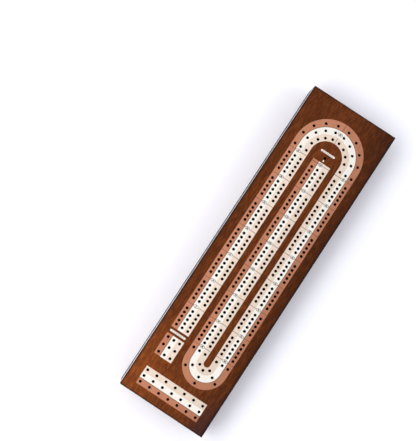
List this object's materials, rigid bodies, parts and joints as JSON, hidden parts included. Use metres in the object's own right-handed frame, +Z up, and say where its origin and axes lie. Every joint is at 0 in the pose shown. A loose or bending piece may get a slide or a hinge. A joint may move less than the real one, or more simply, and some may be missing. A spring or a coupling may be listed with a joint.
{
  "type": "cribbage board",
  "caption": "Long wooden cribbage board with a three-lane inlaid track of peg holes, and turned metal pegs stored under a sliding lid in its underside.",
  "frame": {"origin": "centre of the board's footprint, at table height under the feet", "axes": "+Y along the board towards the finish end, +X to the right of someone who looks at the top with the finish end away from them, +Z up"},
  "size_m": [0.101, 0.372, 0.0255],
  "materials": {
    "stained_wood": "satin lacquer over reddish-brown stain",
    "terracotta_veneer": "satin lacquered veneer",
    "ivory_veneer": "satin lacquered veneer",
    "blush_veneer": "satin lacquered veneer",
    "rubber": "matt moulded",
    "peg_brass": "turned and polished",
    "peg_steel": "turned and polished",
    "peg_black": "black plated, polished"
  },
  "bodies": {
    "board": {"board_body": "stained_wood", "track_lane_outer": "terracotta_veneer", "track_lane_middle": "ivory_veneer", "track_lane_inner": "blush_veneer", "start_strip_outer": "terracotta_veneer", "start_strip_middle": "ivory_veneer", "start_strip_inner": "blush_veneer", "score_strip_outer": "terracotta_veneer", "score_strip_middle": "ivory_veneer", "score_strip_inner": "blush_veneer", "start_bar": "ivory_veneer", "finish_bar": "ivory_veneer", "finish_pointer": "ivory_veneer", "rubber_feet": "rubber"},
    "lid": {"storage_lid": "stained_wood"},
    "peg_brass_1": {"peg_brass_1": "peg_brass"},
    "peg_brass_2": {"peg_brass_2": "peg_brass"},
    "peg_brass_3": {"peg_brass_3": "peg_brass"},
    "peg_steel_1": {"peg_steel_1": "peg_steel"},
    "peg_steel_2": {"peg_steel_2": "peg_steel"},
    "peg_steel_3": {"peg_steel_3": "peg_steel"},
    "peg_black_1": {"peg_black_1": "peg_black"},
    "peg_black_2": {"peg_black_2": "peg_black"},
    "peg_black_3": {"peg_black_3": "peg_black"}
  },
  "joints": [
    {"name": "lid_slide", "type": "slide", "parent": "board", "child": "lid", "axis": [0, -1, 0], "range_m": [0, 0.088]},
    {"name": "peg_brass_1_lift", "type": "slide", "parent": "board", "child": "peg_brass_1", "axis": [0, 0, 1], "range_m": [0, 0.0028]},
    {"name": "peg_brass_2_lift", "type": "slide", "parent": "board", "child": "peg_brass_2", "axis": [0, 0, 1], "range_m": [0, 0.0028]},
    {"name": "peg_brass_3_lift", "type": "slide", "parent": "board", "child": "peg_brass_3", "axis": [0, 0, 1], "range_m": [0, 0.0028]},
    {"name": "peg_steel_1_lift", "type": "slide", "parent": "board", "child": "peg_steel_1", "axis": [0, 0, 1], "range_m": [0, 0.0028]},
    {"name": "peg_steel_2_lift", "type": "slide", "parent": "board", "child": "peg_steel_2", "axis": [0, 0, 1], "range_m": [0, 0.0028]},
    {"name": "peg_steel_3_lift", "type": "slide", "parent": "board", "child": "peg_steel_3", "axis": [0, 0, 1], "range_m": [0, 0.0028]},
    {"name": "peg_black_1_lift", "type": "slide", "parent": "board", "child": "peg_black_1", "axis": [0, 0, 1], "range_m": [0, 0.0028]},
    {"name": "peg_black_2_lift", "type": "slide", "parent": "board", "child": "peg_black_2", "axis": [0, 0, 1], "range_m": [0, 0.0028]},
    {"name": "peg_black_3_lift", "type": "slide", "parent": "board", "child": "peg_black_3", "axis": [0, 0, 1], "range_m": [0, 0.0028]}
  ]
}
